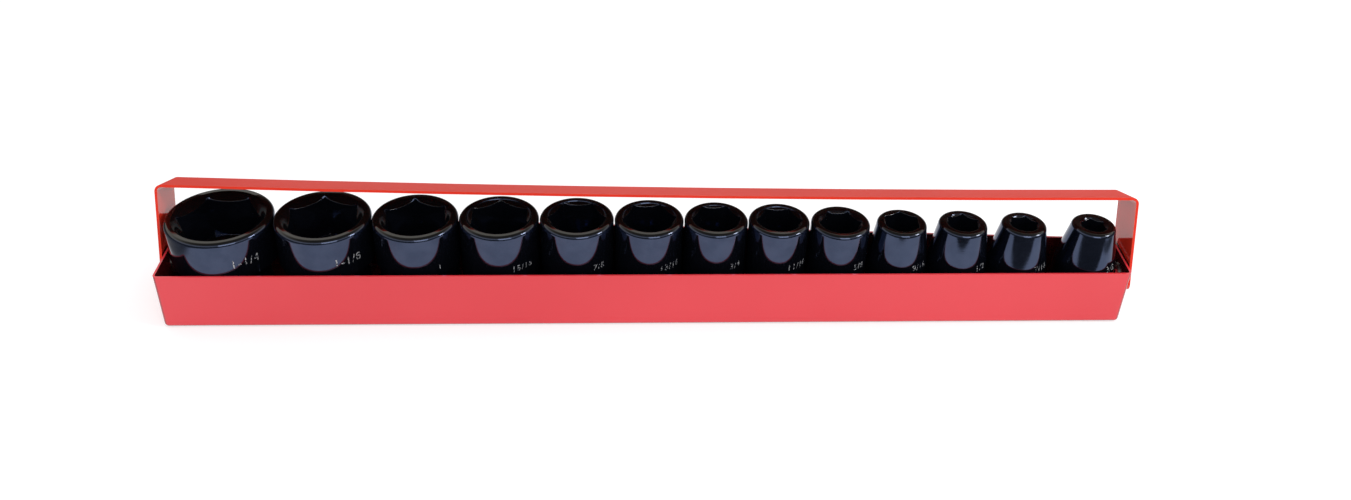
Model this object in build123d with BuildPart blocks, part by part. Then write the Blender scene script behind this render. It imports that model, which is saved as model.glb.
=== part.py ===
from build123d import *
import math
import os

# A long sheet steel tray, wider at one end, that holds a row of impact
# sockets standing nose up under a swinging strap handle.
# Millimetres. X runs along the tray from the wide end (-X) to the narrow end
# (+X), Y from front to back, Z up. The origin is on the underside, at the
# middle of the length and on the centreline.

# ---- tray ----
SHEET = 0.9  # thickness of the tray's steel
BEND_RADIUS = 2.0  # outside radius of the folded corners
TRAY_HEIGHT = 28.5
SIDE_CLEARANCE = 0.35  # between a socket and a long wall
WIDE_END_CLEARANCE = 0.35  # between the largest socket and its end wall
NARROW_END_ROOM = 1.0  # between the smallest socket and the rivet there

# ---- handle ----
STRAP_WIDTH = 21.6
STRAP_THICKNESS = 1.2
STRAP_BEND = 3.2  # outside radius at the two top corners
LEG_CORNER = 3.0  # rounding of the legs' lower corners
LEG_TAIL = 6.5  # from the pivot to the leg's lower end
HANDLE_BOW = 1.8  # how far the bar bows down at its middle
HANDLE_LEAN = 22.0  # degrees back from upright, at rest
SWING_CLEARANCE = 1.6  # between the bar and the sockets it passes over

# ---- pivots ----
SHANK_DIAMETER = 4.8
PIVOT_CLEARANCE = 0.05  # round the shank, and at each face of the leg
RIVET_HEAD_DIAMETER = 9.5
RIVET_HEAD_HEIGHT = 2.0
RIVET_TAIL_DIAMETER = 7.4
RIVET_TAIL_HEIGHT = 1.0
SPACER_DIAMETER = 11.0
SPACER_THICKNESS = 1.0
BACKING_DIAMETER = 10.0
BACKING_THICKNESS = 0.6
BACKING_CLEARANCE = 0.6  # below the largest socket's shoulder

# ---- sockets ----
INCH = 25.4
HEX_ALLOWANCE = 0.2  # the hexagon is this much wider than the nut
HEX_DEPTH = 22.0
DRIVE_SQUARE = 12.85  # square hole for a half inch drive
DRIVE_DEPTH = 17.0
DRIVE_LEAD = 0.8  # chamfer round the mouth of the square
RIM_ROUND = 1.8
RIM_LAND = 1.6  # flat ring between the rounding and the lead-in
LEAD_ANGLE = 58.0  # of the lead-in cone, from the axis
BASE_CHAMFER = 1.2
SHOULDER_LEVEL = 23.5  # where a wide nose starts to narrow, above the base
CONE_LENGTH = 20.0  # from the rim to where a narrow nose reaches full size
RING_HEIGHT = 8.5  # middle of the retaining ring groove
RING_WIDTH = 3.6
RING_DEPTH = 1.6
PIN_HOLE = 3.4
ROW_GAP = 0.35  # between neighbours in the row
LOOSE_GAP = 4.25  # extra room before the last socket

# node name, nut across flats, nose diameter, drive end diameter, length,
# and how far the hexagon is turned
SOCKETS = [
    ("socket_1_1_4_inch", 1.2500 * INCH, 49.0, 38.0, 44.0, 10),
    ("socket_1_1_8_inch", 1.1250 * INCH, 44.4, 38.0, 44.8, 4),
    ("socket_1_inch", 1.0000 * INCH, 39.6, 37.0, 45.0, 16),
    ("socket_15_16_inch", 0.9375 * INCH, 36.8, 36.8, 45.6, 22),
    ("socket_7_8_inch", 0.8750 * INCH, 34.2, 34.2, 46.0, 0),
    ("socket_13_16_inch", 0.8125 * INCH, 32.0, 32.0, 46.0, 12),
    ("socket_3_4_inch", 0.7500 * INCH, 29.5, 29.5, 46.0, 26),
    ("socket_11_16_inch", 0.6875 * INCH, 28.4, 28.4, 46.0, 7),
    ("socket_5_8_inch", 0.6250 * INCH, 27.4, 28.4, 45.2, 18),
    ("socket_9_16_inch", 0.5625 * INCH, 22.8, 28.4, 45.2, 0),
    ("socket_1_2_inch", 0.5000 * INCH, 22.2, 28.4, 45.2, 30),
    ("socket_7_16_inch", 0.4375 * INCH, 20.4, 28.4, 45.2, 9),
    ("socket_3_8_inch", 0.3750 * INCH, 19.8, 28.4, 45.2, 20),
]

# ---- where things stand, worked out from the sizes above ----
radii = [max(nose, base) / 2 for _, _, nose, base, _, _ in SOCKETS]
steps = [a + b + ROW_GAP for a, b in zip(radii, radii[1:])]
steps[-1] += LOOSE_GAP
wide_margin = SHEET + WIDE_END_CLEARANCE + radii[0]
narrow_margin = (
    SHEET + BACKING_THICKNESS + RIVET_TAIL_HEIGHT + NARROW_END_ROOM + radii[-1]
)
tray_length = wide_margin + sum(steps) + narrow_margin
end_x = tray_length / 2
socket_x = [-end_x + wide_margin + sum(steps[:i]) for i in range(len(SOCKETS))]

# The long walls run straight past the first and last socket, and move out
# together if one between them would touch.
reach = [radius + SIDE_CLEARANCE + SHEET for radius in radii]
wall_slope = (reach[-1] - reach[0]) / (socket_x[-1] - socket_x[0])
wall_middle = max(r - wall_slope * x for r, x in zip(reach, socket_x))


def half_width(x):
    """Distance from the centreline to the outside of a long wall."""
    return wall_middle + wall_slope * x


pivot_z = SHEET + SHOULDER_LEVEL - BACKING_CLEARANCE - BACKING_DIAMETER / 2
spacer_x = end_x + SPACER_THICKNESS
leg_x = spacer_x + PIVOT_CLEARANCE + STRAP_THICKNESS / 2  # middle of the strap
head_x = leg_x + STRAP_THICKNESS / 2 + PIVOT_CLEARANCE


def bow_at(x):
    """How far the bar has bowed down at this place along it."""
    return HANDLE_BOW * (1 - (x / leg_x) ** 2)


def rim_reach(nose, length):
    """Farthest that a socket's rounded rim lies from the pivot axis."""
    across = nose / 2 - RIM_ROUND
    up = SHEET + length - RIM_ROUND - pivot_z
    return math.hypot(across, up) + RIM_ROUND


bar_inside = SWING_CLEARANCE + max(
    rim_reach(nose, length) + bow_at(x)
    for (_, _, nose, _, length, _), x in zip(SOCKETS, socket_x)
)
bar_radius = bar_inside + STRAP_THICKNESS / 2  # to the middle of the strap


def build_tray():
    """Folded pan with welded corners, holed for the rivets at both ends."""
    corners = [
        (-end_x, -half_width(-end_x)),
        (end_x, -half_width(end_x)),
        (end_x, half_width(end_x)),
        (-end_x, half_width(-end_x)),
    ]
    with BuildPart() as tray_body:
        with BuildSketch():
            with BuildLine():
                Polyline(*corners, close=True)
            make_face()
        extrude(amount=TRAY_HEIGHT)
        fillet(tray_body.edges().filter_by(Axis.Z), BEND_RADIUS)
        fillet(tray_body.edges().group_by(Axis.Z)[0], BEND_RADIUS)
        top = tray_body.faces().sort_by(Axis.Z)[-1]
        offset(amount=-SHEET, openings=top)
        with BuildSketch(Plane.YZ):
            with Locations((0, pivot_z)):
                Circle(SHANK_DIAMETER / 2 + PIVOT_CLEARANCE)
        extrude(amount=end_x + SHEET, both=True, mode=Mode.SUBTRACT)
    return tray_body.part


def build_handle():
    """One steel strap bent down at both ends, with a hole in each leg."""
    lean = math.radians(HANDLE_LEAN)
    upright = Plane(
        origin=(0, 0, pivot_z),
        x_dir=(1, 0, 0),
        z_dir=(0, -math.cos(lean), math.sin(lean)),
    )
    across = Plane(
        origin=(0, 0, pivot_z),
        x_dir=(0, math.cos(lean), -math.sin(lean)),
        z_dir=(1, 0, 0),
    )
    with BuildPart() as handle:
        with BuildSketch(upright):
            with BuildLine() as strap:
                Line((-leg_x, -LEG_TAIL), (-leg_x, bar_radius))
                ThreePointArc(
                    (-leg_x, bar_radius),
                    (0, bar_radius - HANDLE_BOW),
                    (leg_x, bar_radius),
                )
                Line((leg_x, bar_radius), (leg_x, -LEG_TAIL))
                top_corners = strap.vertices().group_by(Axis.Y)[-1]
                fillet(top_corners, STRAP_BEND - STRAP_THICKNESS / 2)
            trace(line_width=STRAP_THICKNESS)
        extrude(amount=STRAP_WIDTH / 2, both=True)
        lower_corners = handle.edges().filter_by(Axis.X).group_by(Axis.Z)[0]
        lower_corners += handle.edges().filter_by(Axis.X).group_by(Axis.Z)[1]
        fillet(lower_corners, LEG_CORNER)
        with BuildSketch(across):
            Circle(SHANK_DIAMETER / 2 + PIVOT_CLEARANCE)
        extrude(amount=head_x, both=True, mode=Mode.SUBTRACT)
    return handle.part


def build_rivet(side):
    """Round-headed rivet, headed outside the leg and peened inside."""
    tail_x = end_x - SHEET - BACKING_THICKNESS
    head_radius = RIVET_HEAD_DIAMETER / 2
    dome_radius = (head_radius**2 + RIVET_HEAD_HEIGHT**2) / (2 * RIVET_HEAD_HEIGHT)
    outward = Plane(origin=(0, 0, pivot_z), x_dir=(0, 1, 0), z_dir=(0, 0, -side))
    with BuildPart() as rivet:
        with BuildSketch(outward):
            with BuildLine():
                foot = Polyline(
                    (0, tail_x - RIVET_TAIL_HEIGHT),
                    (RIVET_TAIL_DIAMETER / 2, tail_x - RIVET_TAIL_HEIGHT),
                    (RIVET_TAIL_DIAMETER / 2, tail_x),
                    (SHANK_DIAMETER / 2, tail_x),
                    (SHANK_DIAMETER / 2, head_x),
                    (head_radius, head_x),
                )
                dome = RadiusArc(
                    foot @ 1, (0, head_x + RIVET_HEAD_HEIGHT), -dome_radius
                )
                Line(dome @ 1, foot @ 0)
            make_face()
        revolve(axis=Axis((0, 0, pivot_z), (side, 0, 0)))
    return rivet.part


def build_washer(side, inner_x, thickness, diameter):
    """Flat washer round a rivet, thickening outward from inner_x."""
    face = Plane(
        origin=(side * inner_x, 0, pivot_z), x_dir=(0, 1, 0), z_dir=(side, 0, 0)
    )
    with BuildPart() as washer:
        with BuildSketch(face):
            Circle(diameter / 2)
            Circle(SHANK_DIAMETER / 2 + PIVOT_CLEARANCE, mode=Mode.SUBTRACT)
        extrude(amount=thickness)
    return washer.part


def build_socket(x, flats, nose, base, length, turn):
    """Six-point impact socket standing on its square drive end."""
    hexagon = flats + HEX_ALLOWANCE
    nose_radius, base_radius = nose / 2, base / 2
    if nose_radius < base_radius:
        flank = [(base_radius, length - CONE_LENGTH)]
    elif nose_radius > base_radius:
        narrowing = nose_radius - base_radius
        flank = [
            (base_radius, SHOULDER_LEVEL - narrowing),
            (nose_radius, SHOULDER_LEVEL),
        ]
    else:
        flank = []
    groove_radius = base_radius - RING_DEPTH
    throat_radius = min(hexagon, DRIVE_SQUARE) / 2
    lead_radius = nose_radius - RIM_ROUND - RIM_LAND
    lead_depth = (lead_radius - hexagon / 2) / math.tan(math.radians(LEAD_ANGLE))
    stand = Plane(origin=(x, 0, SHEET), x_dir=(1, 0, 0), z_dir=(0, -1, 0))
    spin = Axis((x, 0, SHEET), (0, 0, 1))
    with BuildPart() as socket:
        with BuildSketch(stand):
            with BuildLine():
                Polyline(
                    (0, 0),
                    (base_radius - BASE_CHAMFER, 0),
                    (base_radius, BASE_CHAMFER),
                    (base_radius, RING_HEIGHT - RING_WIDTH / 2),
                    (groove_radius, RING_HEIGHT - RING_WIDTH / 2),
                    (groove_radius, RING_HEIGHT + RING_WIDTH / 2),
                    (base_radius, RING_HEIGHT + RING_WIDTH / 2),
                    *flank,
                    (nose_radius, length),
                    (0, length),
                    close=True,
                )
            make_face()
        revolve(axis=spin)
        rim = socket.edges().filter_by(GeomType.CIRCLE).group_by(Axis.Z)[-1]
        fillet(rim, RIM_ROUND)
        # lead-in cone at the mouth
        with BuildSketch(stand):
            with BuildLine():
                Polyline(
                    (0, length),
                    (lead_radius, length),
                    (hexagon / 2, length - lead_depth),
                    (0, length - lead_depth),
                    close=True,
                )
            make_face()
        revolve(axis=spin, mode=Mode.SUBTRACT)
        # hexagon for the nut
        with BuildSketch(Plane(origin=(x, 0, SHEET + length))):
            RegularPolygon(hexagon / 2, 6, major_radius=False, rotation=turn)
        extrude(amount=-HEX_DEPTH, mode=Mode.SUBTRACT)
        # throat down to the drive square
        with BuildSketch(stand):
            with BuildLine():
                Polyline(
                    (0, DRIVE_DEPTH),
                    (throat_radius, DRIVE_DEPTH),
                    (hexagon / 2, length - HEX_DEPTH),
                    (0, length - HEX_DEPTH),
                    close=True,
                )
            make_face()
        revolve(axis=spin, mode=Mode.SUBTRACT)
        # drive square with a chamfered mouth
        with BuildSketch(Plane(origin=(x, 0, SHEET))):
            Rectangle(DRIVE_SQUARE, DRIVE_SQUARE)
        extrude(amount=DRIVE_DEPTH, mode=Mode.SUBTRACT)
        with BuildSketch(Plane(origin=(x, 0, SHEET))):
            Rectangle(DRIVE_SQUARE + 2 * DRIVE_LEAD, DRIVE_SQUARE + 2 * DRIVE_LEAD)
        extrude(amount=DRIVE_LEAD, taper=45, mode=Mode.SUBTRACT)
        # hole for the retaining pin, through both walls at the groove
        with BuildSketch(Plane(origin=(x, 0, SHEET + RING_HEIGHT), z_dir=(0, 1, 0))):
            Circle(PIN_HOLE / 2)
        extrude(amount=base_radius, both=True, mode=Mode.SUBTRACT)
    return socket.part


pieces = {"tray_body": build_tray(), "handle": build_handle()}
for end_name, side in (("left", -1), ("right", 1)):
    backing_x = end_x - SHEET - BACKING_THICKNESS
    pieces[f"pivot_rivet_{end_name}"] = build_rivet(side)
    pieces[f"spacer_washer_{end_name}"] = build_washer(
        side, end_x, SPACER_THICKNESS, SPACER_DIAMETER
    )
    pieces[f"backing_washer_{end_name}"] = build_washer(
        side, backing_x, BACKING_THICKNESS, BACKING_DIAMETER
    )
for (name, flats, nose, base, length, turn), x in zip(SOCKETS, socket_x):
    pieces[name] = build_socket(x, flats, nose, base, length, turn)

os.makedirs("parts", exist_ok=True)
for name, piece in pieces.items():
    piece.label = name
    export_step(piece, f"parts/{name}.step")

print("tray length", round(tray_length, 2))
print("tray widths", [round(2 * half_width(s * end_x), 2) for s in (-1, 1)])
print("pivot height", round(pivot_z, 2), "bar radius", round(bar_radius, 2))
print("socket x", [round(x, 2) for x in socket_x])
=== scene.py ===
"""Socket tray: materials, size marks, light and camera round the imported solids.

Metres, in the same frame as the solids: X along the tray from its wide end to
its narrow end, Y from front to back, Z up from the surface it stands on.
"""

import math

import bpy
from mathutils import Matrix, Vector
from mathutils.bvhtree import BVHTree


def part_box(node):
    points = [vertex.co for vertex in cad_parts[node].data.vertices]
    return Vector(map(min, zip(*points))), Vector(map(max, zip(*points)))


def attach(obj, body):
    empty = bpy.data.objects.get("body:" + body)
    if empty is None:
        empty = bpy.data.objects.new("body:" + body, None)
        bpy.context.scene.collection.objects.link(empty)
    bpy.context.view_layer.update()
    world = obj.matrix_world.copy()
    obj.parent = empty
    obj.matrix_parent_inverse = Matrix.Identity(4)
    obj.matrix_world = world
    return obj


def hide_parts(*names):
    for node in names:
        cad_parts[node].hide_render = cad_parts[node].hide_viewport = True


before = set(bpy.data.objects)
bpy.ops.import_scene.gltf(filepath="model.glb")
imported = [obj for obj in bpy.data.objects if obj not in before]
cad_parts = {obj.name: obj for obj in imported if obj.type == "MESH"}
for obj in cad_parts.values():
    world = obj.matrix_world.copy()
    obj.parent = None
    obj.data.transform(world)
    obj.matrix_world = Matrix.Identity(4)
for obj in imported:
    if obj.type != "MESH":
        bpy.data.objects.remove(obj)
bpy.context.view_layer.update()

MM = 0.001
INCH = 25.4 * MM
SCENE = bpy.context.scene

# ---- the part's own sizes that its looks follow ----
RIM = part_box("tray_body")[1][2]  # the tray's rim, above the surface it stands on
BAR_FOOT = 42 * MM  # of the handle, only its bar's underside looks down above this
HEX_DEPTH = 22 * MM  # from a socket's nose down to the end of its hexagon


def add_object(name, data):
    """A new object in the scene."""
    made = bpy.data.objects.new(name, data)
    SCENE.collection.objects.link(made)
    return made


# ---- camera, as fitted to the photograph ----
PHOTO_WIDTH, PHOTO_HEIGHT = 1351, 500  # pixels
CAMERA_AT = (-0.012350, -0.476634, 0.360054)
CAMERA_PITCH = math.radians(35.4827)  # down from level
CAMERA_YAW = math.radians(2.2688)  # from +Y towards +X
CAMERA_ROLL = math.radians(-1.9747)
FOCAL_PIXELS = 1232.33
PRINCIPAL = (665.09, 264.61)  # pixels, where the camera's axis meets the picture
SENSOR_WIDTH = 36.0


def aim_camera():
    """The photograph's camera: a plain perspective with a small shift."""
    forward = Vector(
        (
            math.sin(CAMERA_YAW) * math.cos(CAMERA_PITCH),
            math.cos(CAMERA_YAW) * math.cos(CAMERA_PITCH),
            -math.sin(CAMERA_PITCH),
        )
    )
    level = Vector((math.cos(CAMERA_YAW), -math.sin(CAMERA_YAW), 0))
    down = forward.cross(level)
    right = math.cos(CAMERA_ROLL) * level + math.sin(CAMERA_ROLL) * down
    up = math.sin(CAMERA_ROLL) * level - math.cos(CAMERA_ROLL) * down
    data = bpy.data.cameras.new("camera")
    data.sensor_fit = "HORIZONTAL"
    data.sensor_width = SENSOR_WIDTH
    data.lens = FOCAL_PIXELS * SENSOR_WIDTH / PHOTO_WIDTH
    data.shift_x = (PHOTO_WIDTH / 2 - PRINCIPAL[0]) / PHOTO_WIDTH
    data.shift_y = (PRINCIPAL[1] - PHOTO_HEIGHT / 2) / PHOTO_WIDTH
    data.clip_start, data.clip_end = 0.01, 20
    camera = add_object("camera", data)
    turn = Matrix((right, up, -forward)).transposed()
    camera.matrix_world = Matrix.Translation(CAMERA_AT) @ turn.to_4x4()
    SCENE.camera = camera


# ---- node helpers ----
BEVEL_SAMPLES = 6


class Nodes:
    """A short way to write a node tree: values are numbers or other sockets."""

    def __init__(self, tree):
        self.tree = tree

    def add(self, kind, inputs=None, **settings):
        node = self.tree.nodes.new(kind)
        for key, value in settings.items():
            setattr(node, key, value)
        for key, value in (inputs or {}).items():
            self.put(node, key, value)
        return node

    def put(self, node, key, value):
        if isinstance(value, bpy.types.NodeSocket):
            self.tree.links.new(value, node.inputs[key])
        else:
            node.inputs[key].default_value = value

    def math(self, operation, a, b=0.0):
        return self.add("ShaderNodeMath", {0: a, 1: b}, operation=operation).outputs[0]

    def times(self, a, b):
        return self.math("MULTIPLY", a, b)

    def larger(self, a, b):
        return self.math("MAXIMUM", a, b)

    def complement(self, share):
        """What is left of 1."""
        return self.math("SUBTRACT", 1.0, share)

    def mix(self, factor, a, b):
        """Colour a where factor is 0 and colour b where it is 1."""
        return self.add(
            "ShaderNodeMix", {0: factor, 6: a, 7: b}, data_type="RGBA"
        ).outputs[2]

    def ramp(self, value, low, high, start=0.0, end=1.0):
        """start below low, end above high, and a smooth step between."""
        return self.add(
            "ShaderNodeMapRange",
            {0: value, 1: low, 2: high, 3: start, 4: end},
            interpolation_type="SMOOTHSTEP",
        ).outputs[0]

    def split(self, vector):
        """The parts X, Y and Z of a vector."""
        return tuple(self.add("ShaderNodeSeparateXYZ", {0: vector}).outputs)

    def place(self, scale=(1, 1, 1)):
        """Coordinates in the frame, in metres, stretched by scale."""
        coordinates = self.add("ShaderNodeTexCoord").outputs["Object"]
        return self.add("ShaderNodeMapping", {0: coordinates, 3: scale}).outputs[0]

    def facing(self):
        """The parts X, Y and Z of the normal, which turn with the piece."""
        return self.split(self.add("ShaderNodeTexCoord").outputs["Normal"])

    def plain_normal(self):
        return self.add("ShaderNodeNewGeometry").outputs["Normal"]

    def rounded_normal(self, radius):
        """The normal as if the edges were rounded by radius."""
        return self.add(
            "ShaderNodeBevel", {"Radius": radius}, samples=BEVEL_SAMPLES
        ).outputs[0]

    def edges(self, radius, low, high):
        """1 along sharp edges and 0 on flat faces, over about radius."""
        agree = self.add(
            "ShaderNodeVectorMath",
            {0: self.rounded_normal(radius), 1: self.plain_normal()},
            operation="DOT_PRODUCT",
        ).outputs["Value"]
        return self.ramp(self.complement(agree), low, high)

    def noise(self, where, scale, detail=2.0, roughness=0.5):
        return self.add(
            "ShaderNodeTexNoise",
            {"Vector": where, "Scale": scale, "Detail": detail, "Roughness": roughness},
        ).outputs[0]

    def bump(self, height, distance, strength, normal=None):
        inputs = {"Height": height, "Distance": distance, "Strength": strength}
        if normal is not None:
            inputs["Normal"] = normal
        return self.add("ShaderNodeBump", inputs).outputs[0]

    def rays(self):
        """Whether a ray is glossy, and whether it is one that shows things."""
        path = self.add("ShaderNodeLightPath").outputs
        glossy = path["Is Glossy Ray"]
        through = self.larger(glossy, path["Is Transmission Ray"])
        return glossy, self.larger(path["Is Camera Ray"], through)


def new_material(name, **uniform):
    """A material and its nodes, with the shader's uniform values set."""
    made = bpy.data.materials.new(name)
    made.use_nodes = True
    shader = made.node_tree.nodes["Principled BSDF"]
    for key, value in uniform.items():
        shader.inputs[key.replace("_", " ")].default_value = value
    return made, Nodes(made.node_tree), shader


def empty_nodes(owner):
    """The emptied node tree of a material or world."""
    owner.use_nodes = True
    owner.node_tree.nodes.clear()
    return Nodes(owner.node_tree)


# ---- paint ----
TRAY_RED, TRAY_PALE = (0.80, 0.034, 0.050, 1), (0.84, 0.042, 0.060, 1)
BAR_RED, BAR_PALE = (0.80, 0.036, 0.016, 1), (0.85, 0.044, 0.022, 1)
# thinner paint over sharp edges, lighter as a painted highlight
THIN_PAINT_HIGHLIGHT_RED = (0.87, 0.15, 0.10, 1)
SPECK_RED = (0.35, 0.02, 0.02, 1)
# painted shade in the tray's bends, also the darker tone along its foot
BEND_SHADE_AND_FOOT_RED = (0.16, 0.008, 0.012, 1)
# painted shade: the tray's floor and inner faces below the rim, and the bar's underside
PAINTED_SHADE_TONE = (0.016, 0.002, 0.003, 1)


def paint_shade(nodes, where, tone):
    """Painted shade over a paint's tone, at the coordinates where.

    The tray's floor below the rim is painted nearly black as shade, in patches,
    and so are its inner faces, which look at its middle planes. Outside it is
    clean. The handle's bar is painted dark underneath as shade. The bends are
    painted darker as shade, and the paint is darker along the foot.
    """
    x, y, z = nodes.split(where)
    face_x, face_y, face_z = nodes.facing()
    outward = nodes.math(
        "MINIMUM",
        nodes.times(face_x, nodes.math("SIGN", x)),
        nodes.times(face_y, nodes.math("SIGN", y)),
    )
    inward = nodes.ramp(outward, -0.6, -0.3, 1.0, 0.0)
    upward = nodes.ramp(face_z, 0.7, 0.9)
    below = nodes.ramp(z, RIM - 0.3 * MM, RIM, 1.0, 0.0)
    # painted shade on the tray's floor and inner faces below the rim, in patches
    inside_shade = nodes.times(nodes.larger(inward, upward), below)
    patchy = nodes.ramp(nodes.noise(where, 60.0, 4.0, 0.6), 0.2, 0.8, 0.85, 1.0)
    # painted shade on the handle bar's faces that look down, above BAR_FOOT
    under_bar_shade = nodes.times(
        nodes.ramp(face_z, -0.8, -0.6, 0.75, 0.0),
        nodes.ramp(z, BAR_FOOT, BAR_FOOT + 3 * MM),
    )
    # painted shade in the bends, where faces turn half to X and half to Y
    bend_shade = nodes.math("ABSOLUTE", nodes.times(face_x, face_y))
    # darker along the foot, the lowest 1.5 mm
    foot = nodes.ramp(z, 0.3 * MM, 1.5 * MM, 0.75, 0.0)
    bend_shade_and_foot = nodes.larger(nodes.ramp(bend_shade, 0.15, 0.4, 0.0, 0.6), foot)
    tone = nodes.mix(bend_shade_and_foot, tone, BEND_SHADE_AND_FOOT_RED)
    return nodes.mix(nodes.larger(nodes.times(inside_shade, patchy), under_bar_shade), tone, PAINTED_SHADE_TONE)


def red_paint(name, body, pale, gloss, rubbed, **uniform):
    """Baked enamel: cloudy, faintly rippled like orange peel, lighter over sharp edges,
    where it runs thinner and a highlight is painted.

    gloss is its roughness, and rubbed the roughness of its upper faces, which
    hands have dulled.
    """
    made, nodes, shader = new_material(name, Metallic=0.0, **uniform)
    where = nodes.place()
    cloudy = nodes.ramp(nodes.noise(where, 11.0), 0.35, 0.65)
    tone = nodes.mix(cloudy, body, pale)
    # sharp edges lighter: thinner paint and a painted highlight
    thin_paint_and_highlight = nodes.edges(0.4 * MM, 0.04, 0.35)
    tone = nodes.mix(nodes.times(thin_paint_and_highlight, 0.5), tone, THIN_PAINT_HIGHLIGHT_RED)
    speck = nodes.ramp(nodes.noise(where, 900.0), 0.74, 0.8)
    tone = nodes.mix(nodes.times(speck, 0.25), tone, SPECK_RED)
    nodes.put(shader, "Base Color", paint_shade(nodes, where, tone))
    grip = nodes.ramp(nodes.facing()[2], 0.6, 0.8, gloss, rubbed)
    # scuffs run along the tray
    scuffs = nodes.noise(nodes.place((30, 700, 700)), 1.0, 3.0, 0.6)
    scuffs = nodes.ramp(scuffs, 0.6, 0.85, 0.0, 0.07)
    nodes.put(shader, "Roughness", nodes.math("ADD", grip, scuffs))
    peel = nodes.noise(where, 300.0, 1.0)
    ripple = nodes.noise(where, 35.0, 1.0)
    normal = nodes.bump(peel, 0.012 * MM, 0.5)
    normal = nodes.bump(ripple, 0.2 * MM, 0.25, normal)
    nodes.put(shader, "Normal", normal)
    return made


# ---- steel ----
OXIDE_DARK, OXIDE_LIGHT = (0.044, 0.057, 0.098, 1), (0.058, 0.073, 0.122, 1)
OXIDE_BROWN = (0.074, 0.069, 0.052, 1)
BARE_STEEL = (0.50, 0.47, 0.42, 1)
ZINC, ZINC_DULL = (0.52, 0.52, 0.50, 1), (0.42, 0.41, 0.38, 1)
ZINC_WORN = (0.80, 0.79, 0.76, 1)
FIGURE_OILED, FIGURE_BRIGHT = (0.020, 0.024, 0.034, 1), (0.62, 0.63, 0.64, 1)


def black_oxide():
    """Oiled black oxide on forged steel: blue-black, brown where it looks up."""
    made, nodes, shader = new_material("black_oxide", Metallic=0.96, IOR=1.5)
    where = nodes.place()
    mottle = nodes.noise(where, 95.0, 5.0, 0.6)
    tone = nodes.mix(nodes.ramp(mottle, 0.3, 0.7), OXIDE_DARK, OXIDE_LIGHT)
    upper = nodes.ramp(nodes.split(nodes.plain_normal())[2], 0.45, 0.95)
    tone = nodes.mix(nodes.times(upper, 0.85), tone, OXIDE_BROWN)
    broken = nodes.ramp(nodes.noise(where, 700.0, 3.0, 0.6), 0.35, 0.7)
    rubbed = nodes.times(nodes.edges(0.35 * MM, 0.05, 0.4), broken)
    tone = nodes.mix(nodes.times(rubbed, 0.8), tone, BARE_STEEL)
    nodes.put(shader, "Base Color", tone)
    # turning marks run round each socket, so they vary with height
    turned = nodes.noise(nodes.place((25, 25, 2600)), 1.0, 3.0, 0.6)
    rough = nodes.ramp(mottle, 0.3, 0.75, 0.05, 0.11)
    rough = nodes.math("ADD", rough, nodes.ramp(turned, 0.5, 0.9, 0.0, 0.06))
    rough = nodes.math("ADD", rough, nodes.times(rubbed, 0.32))
    nodes.put(shader, "Roughness", rough)
    grain = nodes.noise(where, 1100.0, 3.0, 0.6)
    normal = nodes.bump(turned, 0.008 * MM, 0.5, nodes.rounded_normal(0.5 * MM))
    normal = nodes.bump(grain, 0.006 * MM, 0.5, normal)
    nodes.put(shader, "Normal", normal)
    return made


def zinc():
    """Bright zinc plate, a little dull, with fine stamping marks."""
    made, nodes, shader = new_material("washer_steel", Metallic=1.0)
    cloud = nodes.noise(nodes.place(), 300.0, 4.0, 0.6)
    tone = nodes.mix(nodes.ramp(cloud, 0.3, 0.7), ZINC, ZINC_DULL)
    worn = nodes.edges(0.3 * MM, 0.05, 0.4)
    tone = nodes.mix(nodes.times(worn, 0.6), tone, ZINC_WORN)
    nodes.put(shader, "Base Color", tone)
    marks = nodes.noise(nodes.place((300, 1200, 300)), 1.0, 4.0, 0.65)
    nodes.put(shader, "Roughness", nodes.ramp(marks, 0.3, 0.8, 0.24, 0.45))
    nodes.put(shader, "Normal", nodes.bump(marks, 0.01 * MM, 0.6))
    return made


def etched_figures():
    """Etched figures, bright where the oil has not filled them."""
    made, nodes, shader = new_material("etched_mark", Metallic=0.35)
    broken = nodes.ramp(nodes.noise(nodes.place(), 1500.0, 3.0, 0.7), 0.47, 0.56)
    tone = nodes.mix(broken, FIGURE_OILED, FIGURE_BRIGHT)
    nodes.put(shader, "Base Color", tone)
    nodes.put(shader, "Roughness", nodes.ramp(broken, 0.0, 1.0, 0.25, 0.6))
    nodes.put(shader, "Normal", nodes.bump(broken, 0.02 * MM, 0.6))
    return made


def make_finishes():
    """Every CAD finish, by a key that is in the names of the nodes it is for."""
    return {
        "tray_body": red_paint(
            "red_paint",
            TRAY_RED,
            TRAY_PALE,
            gloss=0.2,
            rubbed=0.2,
            IOR=1.5,
            Coat_Weight=0.3,
            Coat_Roughness=0.06,
        ),
        "handle": red_paint(
            "red_paint_handle", BAR_RED, BAR_PALE, gloss=0.05, rubbed=0.55, IOR=1.52
        ),
        "pivot_rivet": red_paint(
            "rivet_steel", TRAY_RED, TRAY_PALE, gloss=0.25, rubbed=0.25, IOR=1.45
        ),
        "washer": zinc(),
        "socket": black_oxide(),
    }


def dress_nodes(finishes):
    """Gives every CAD node the finish whose key is in its name."""
    for name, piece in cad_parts.items():
        finish = next(made for key, made in finishes.items() if key in name)
        if not piece.material_slots:
            piece.data.materials.append(finish)
        for slot in piece.material_slots:
            slot.material = finish


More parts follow.
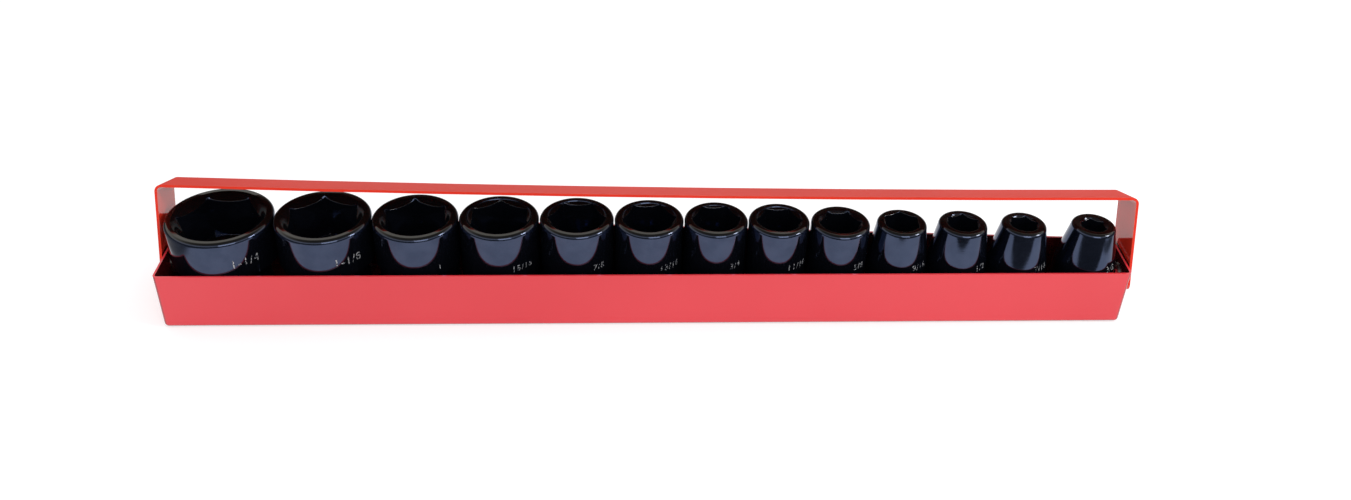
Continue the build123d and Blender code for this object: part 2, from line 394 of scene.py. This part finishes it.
# ---- sockets as they stand, and their size marks ----
TURNS = {  # degrees by which each loose socket is turned on its foot
    "socket_1_1_4_inch": -9,
    "socket_1_1_8_inch": -26,
    "socket_1_inch": 22,
    "socket_15_16_inch": 9,
    "socket_7_8_inch": 0,
    "socket_13_16_inch": -7,
    "socket_3_4_inch": -23,
    "socket_11_16_inch": -7,
    "socket_5_8_inch": -16,
    "socket_9_16_inch": 28,
    "socket_1_2_inch": -10,
    "socket_7_16_inch": 1,
    "socket_3_8_inch": 8,
}
OPENED = 1.05  # how much wider the hexagons look than the nuts' sizes
CORNER_SLACK = 0.3 * MM  # past a nut's corners, vertices are still the hexagon's
END_SLACK = 0.1 * MM  # and so they are below the hexagon's end

HIGH_MARKS = ("socket_1_1_4_inch", "socket_1_1_8_inch")
HIGH_MARK_LEVEL, HIGH_MARK_HEIGHT = 31 * MM, 4.0 * MM  # the figures' foot and size
MARK_LEVEL, MARK_HEIGHT = 27 * MM, 3.0 * MM
MARK_TURN = math.radians(38)  # to the right of a socket's front
MARK_DEPTH = 0.08 * MM  # half the figures' thickness
MARK_SINK = 0.3 * MARK_DEPTH  # their middle, below the surface
MARK_SPACING = 1.15
FIGURE_SHARE = 0.7  # a figure's height, as a share of the letters' size


def size_figures(node):
    """The figures of a socket's size: 1 1 4 for 1-1/4, 15 16 for 15/16."""
    return node[len("socket_") : -len("_inch")].split("_")


def size_words(node):
    """A socket's size as it is written on it, such as 1-1/4, 15/16 or 1."""
    figures = size_figures(node)
    whole = figures[0] + "-" if len(figures) == 3 else ""
    return whole + "/".join(figures[-2:])


def nut_size(node):
    """Across the flats of the nut that the socket is for, in metres."""
    figures = [int(figure) for figure in size_figures(node)]
    inches = figures[0] if len(figures) != 2 else 0
    if len(figures) > 1:
        inches += figures[-2] / figures[-1]
    return INCH * inches


def socket_round(node):
    """Where a socket's axis meets the ground, its radius and its nose's height."""
    low, high = (Vector(corner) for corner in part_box(node))
    axis = Vector(((low.x + high.x) / 2, (low.y + high.y) / 2, 0))
    return axis, (high.x - low.x) / 2, high.z


def add_steel_piece(name, mesh, finish, node):
    """A new piece that rides on the node's body."""
    mesh.materials.clear()
    mesh.materials.append(finish)
    piece = add_object(name, mesh)
    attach(piece, node)
    return piece


def turn_socket(node, degrees, finish):
    """The socket turned on its foot, and its hexagon opened as it looks."""
    axis, _, nose = socket_round(node)
    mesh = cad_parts[node].data.copy()
    corner = nut_size(node) / math.sqrt(3) + CORNER_SLACK
    for vertex in mesh.vertices:
        offset = vertex.co.xy - axis.xy
        if vertex.co.z > nose - HEX_DEPTH - END_SLACK and offset.length < corner:
            vertex.co.xy = axis.xy + OPENED * offset
    turned = Matrix.Rotation(math.radians(degrees), 4, "Z")
    mesh.transform(Matrix.Translation(axis) @ turned @ Matrix.Translation(-axis))
    piece = add_steel_piece(node + "_turned", mesh, finish, node)
    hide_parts(node)


def flat_words(words, height):
    """A mesh of the words, flat on their own X and Y, as thick as marks are."""
    letters = bpy.data.curves.new("letters", "FONT")
    letters.body, letters.align_x, letters.resolution_u = words, "CENTER", 3
    letters.size, letters.extrude = height / FIGURE_SHARE, MARK_DEPTH
    letters.space_character = MARK_SPACING
    shape = add_object("letters", letters)
    mesh = bpy.data.meshes.new_from_object(
        shape.evaluated_get(bpy.context.evaluated_depsgraph_get())
    )
    bpy.data.objects.remove(shape)
    return mesh


def size_mark(node, level, height, finish):
    """A socket's size in inches, wrapped round it and a little sunk in it.

    level is the height of the figures' foot.
    """
    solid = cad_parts[node].data
    skin = BVHTree.FromPolygons(
        [v.co for v in solid.vertices], [p.vertices for p in solid.polygons]
    )
    axis, radius, _ = socket_round(node)
    mesh = flat_words(size_words(node), height)
    for vertex in mesh.vertices:
        angle = MARK_TURN + vertex.co.x / radius
        outward = Vector((math.sin(angle), -math.cos(angle), 0))
        middle = axis + Vector((0, 0, level + vertex.co.y))
        hit = skin.ray_cast(middle + 2 * radius * outward, -outward)[0]
        vertex.co = hit + outward * (vertex.co.z - MARK_SINK)
    add_steel_piece(node.replace("socket", "mark"), mesh, finish, node)


def stand_sockets(finish):
    """Shows every socket turned as it stands in the tray."""
    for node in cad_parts:
        if node in TURNS:
            turn_socket(node, TURNS[node], finish)


def add_marks(finish):
    """Every socket carries its size; the two largest have it higher up."""
    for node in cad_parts:
        if node in HIGH_MARKS:
            size_mark(node, HIGH_MARK_LEVEL, HIGH_MARK_HEIGHT, finish)
        elif node in TURNS:
            size_mark(node, MARK_LEVEL, MARK_HEIGHT, finish)


# ---- surroundings ----
WHITE, BLACK = (1, 1, 1, 1), (0.0, 0.0, 0.0, 1)
FLOOR_HALF = 6.0
PAPER_DARK, PAPER_LIGHT = (0.64, 0.64, 0.64, 1), (0.68, 0.68, 0.68, 1)
PAPER_GLOW = 0.5
# Glossy things show a white sheet in a dark room. Each of its edges fades out
# between two places, and stays as white beyond as its PAST value says.
SHEET_FRONT = (-0.153, -0.145)
SHEET_BACK, PAST_BACK = (0.32, 0.38), 0.1
SHEET_RIGHT, PAST_RIGHT = (0.335, 0.345), 0.1
SHEET_LEFT, PAST_LEFT = (-0.272, -0.256), 0.15
GLINT_LEFT, GLINT_RIGHT = (0.365, 0.372), (0.385, 0.392)  # of a strip at its right
ROOM_DARKNESS = 0.93
# the world, by the height of a direction: 0 is the horizon and 1 straight up
OVERHEAD = (0.45, 0.9)
OVERHEAD_TONE = (0.10, 0.10, 0.11, 1)
ROOM_HEIGHT, ROOM_REACH = 0.1, (0.2, 0.35)
ROOM_TONE, ROOM_SHARE = (0.05, 0.05, 0.05, 1), 0.92
DIFFUSE_TONE = (0.80, 0.80, 0.81, 1)
LIT_POINT = (0, 0, 0.03)


def white_sheet(nodes, where):
    """1 on the sheet that glossy things show, and about 0 past its edges."""
    x, y, _ = nodes.split(where)
    depth = nodes.times(
        nodes.ramp(y, *SHEET_FRONT), nodes.ramp(y, *SHEET_BACK, 1.0, PAST_BACK)
    )
    left = nodes.ramp(x, *SHEET_LEFT, PAST_LEFT, 1.0)
    right = nodes.ramp(x, *SHEET_RIGHT, 1.0, PAST_RIGHT)
    glint = nodes.times(
        nodes.ramp(x, *GLINT_LEFT), nodes.ramp(x, *GLINT_RIGHT, 1.0, 0.0)
    )
    return nodes.times(nodes.times(depth, left), nodes.larger(right, glint))


def build_floor():
    """A plain white surface, white to the camera but for the object's shadow."""
    mesh = bpy.data.meshes.new("floor")
    signs = [(-1, -1), (1, -1), (1, 1), (-1, 1)]
    corners = [(FLOOR_HALF * x, FLOOR_HALF * y, 0) for x, y in signs]
    mesh.from_pydata(corners, [], [(0, 1, 2, 3)])
    floor = add_object("floor", mesh)
    made = bpy.data.materials.new("floor")
    nodes = empty_nodes(made)
    glossy, seen = nodes.rays()
    where = nodes.place()
    tone = nodes.mix(nodes.noise(where, 9.0), PAPER_DARK, PAPER_LIGHT)
    room = nodes.times(glossy, nodes.complement(white_sheet(nodes, where)))
    room = nodes.times(room, ROOM_DARKNESS)
    tone = nodes.mix(room, tone, BLACK)
    lit = nodes.times(seen, nodes.complement(room))
    shade = nodes.add("ShaderNodeBsdfDiffuse", {"Color": tone}).outputs[0]
    glow = nodes.add(
        "ShaderNodeEmission", {"Color": WHITE, "Strength": nodes.times(lit, PAPER_GLOW)}
    ).outputs[0]
    total = nodes.add("ShaderNodeAddShader", {0: shade, 1: glow}).outputs[0]
    nodes.add("ShaderNodeOutputMaterial", {"Surface": total})
    mesh.materials.append(made)


def build_world():
    """White all round near the horizon, darker overhead, even for diffuse light.

    Glossy things show a dim room behind the sheet's far edge.
    """
    world = bpy.data.worlds.new("studio")
    SCENE.world = world
    nodes = empty_nodes(world)
    glossy, seen = nodes.rays()
    height = nodes.split(nodes.add("ShaderNodeTexCoord").outputs["Generated"])[2]
    sky = nodes.mix(nodes.ramp(height, *OVERHEAD), WHITE, OVERHEAD_TONE)
    level = nodes.math("ABSOLUTE", nodes.math("SUBTRACT", height, ROOM_HEIGHT))
    room = nodes.times(nodes.ramp(level, *ROOM_REACH, ROOM_SHARE, 0.0), glossy)
    sky = nodes.mix(room, sky, ROOM_TONE)
    colour = nodes.mix(seen, DIFFUSE_TONE, sky)
    background = nodes.add("ShaderNodeBackground", {"Color": colour, "Strength": 1.0})
    nodes.add("ShaderNodeOutputWorld", {"Surface": background.outputs[0]})


def softbox(name, at, size, radiance):
    """A square area light that faces the middle of the tray."""
    data = bpy.data.lights.new(name, "AREA")
    data.shape = "SQUARE"
    data.size = size
    data.energy = radiance * math.pi * size * size
    light = add_object(name, data)
    light.location = at
    aim = Vector(LIT_POINT) - Vector(at)
    light.rotation_mode = "QUATERNION"
    light.rotation_quaternion = aim.to_track_quat("-Z", "Y")


# ---- the scene ----
aim_camera()
finishes = make_finishes()
dress_nodes(finishes)
stand_sockets(finishes["socket"])
add_marks(etched_figures())
build_floor()
build_world()
softbox("window_right", at=(1.1, -0.25, 0.75), size=0.30, radiance=14.0)
softbox("fill_front", at=(0.4, -1.3, 0.8), size=0.9, radiance=2.05)

SCENE.view_settings.view_transform = "Standard"
